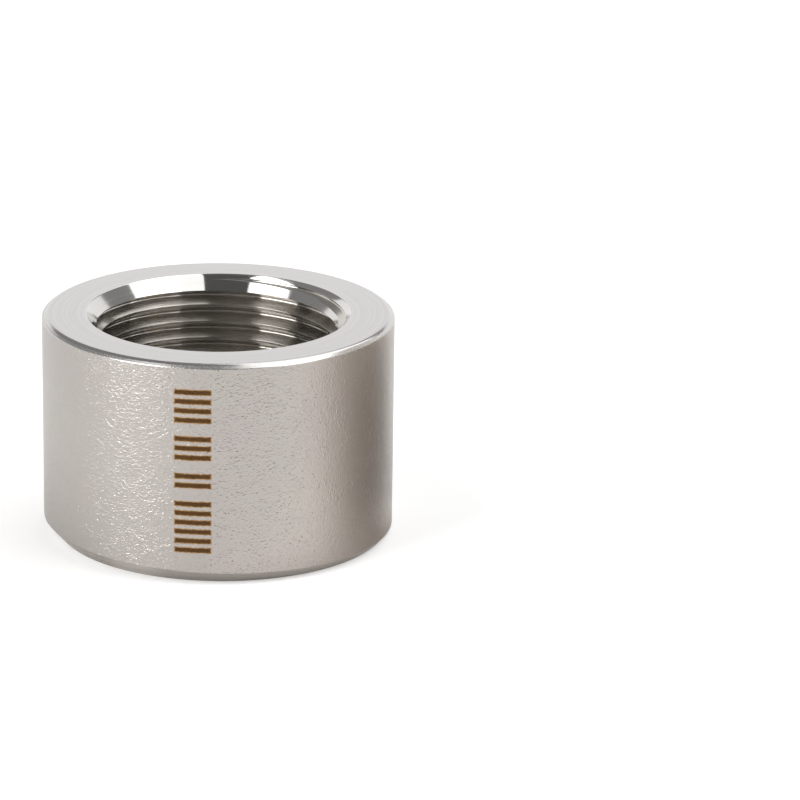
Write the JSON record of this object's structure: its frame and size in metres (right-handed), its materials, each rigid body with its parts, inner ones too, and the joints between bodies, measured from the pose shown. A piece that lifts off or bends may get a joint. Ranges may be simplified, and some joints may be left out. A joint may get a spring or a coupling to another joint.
{
  "type": "half coupling",
  "caption": "Short round stainless steel pipe coupling for welding to a pipe, with a countersunk mouth, a tapered pipe thread and a plain bore at the weld end.",
  "frame": {"origin": "centre of the weld end, the flat end that the part stands on", "axes": "+Z along the bore axis, from the weld end up to the threaded mouth; +X to the right and +Y away in the usual front view"},
  "size_m": [0.0444, 0.0444, 0.0284],
  "materials": {
    "stainless_steel": "pickled forged skin outside, turned ends, machined thread"
  },
  "bodies": {
    "root": {"half_coupling": "stainless_steel"}
  },
  "joints": []
}
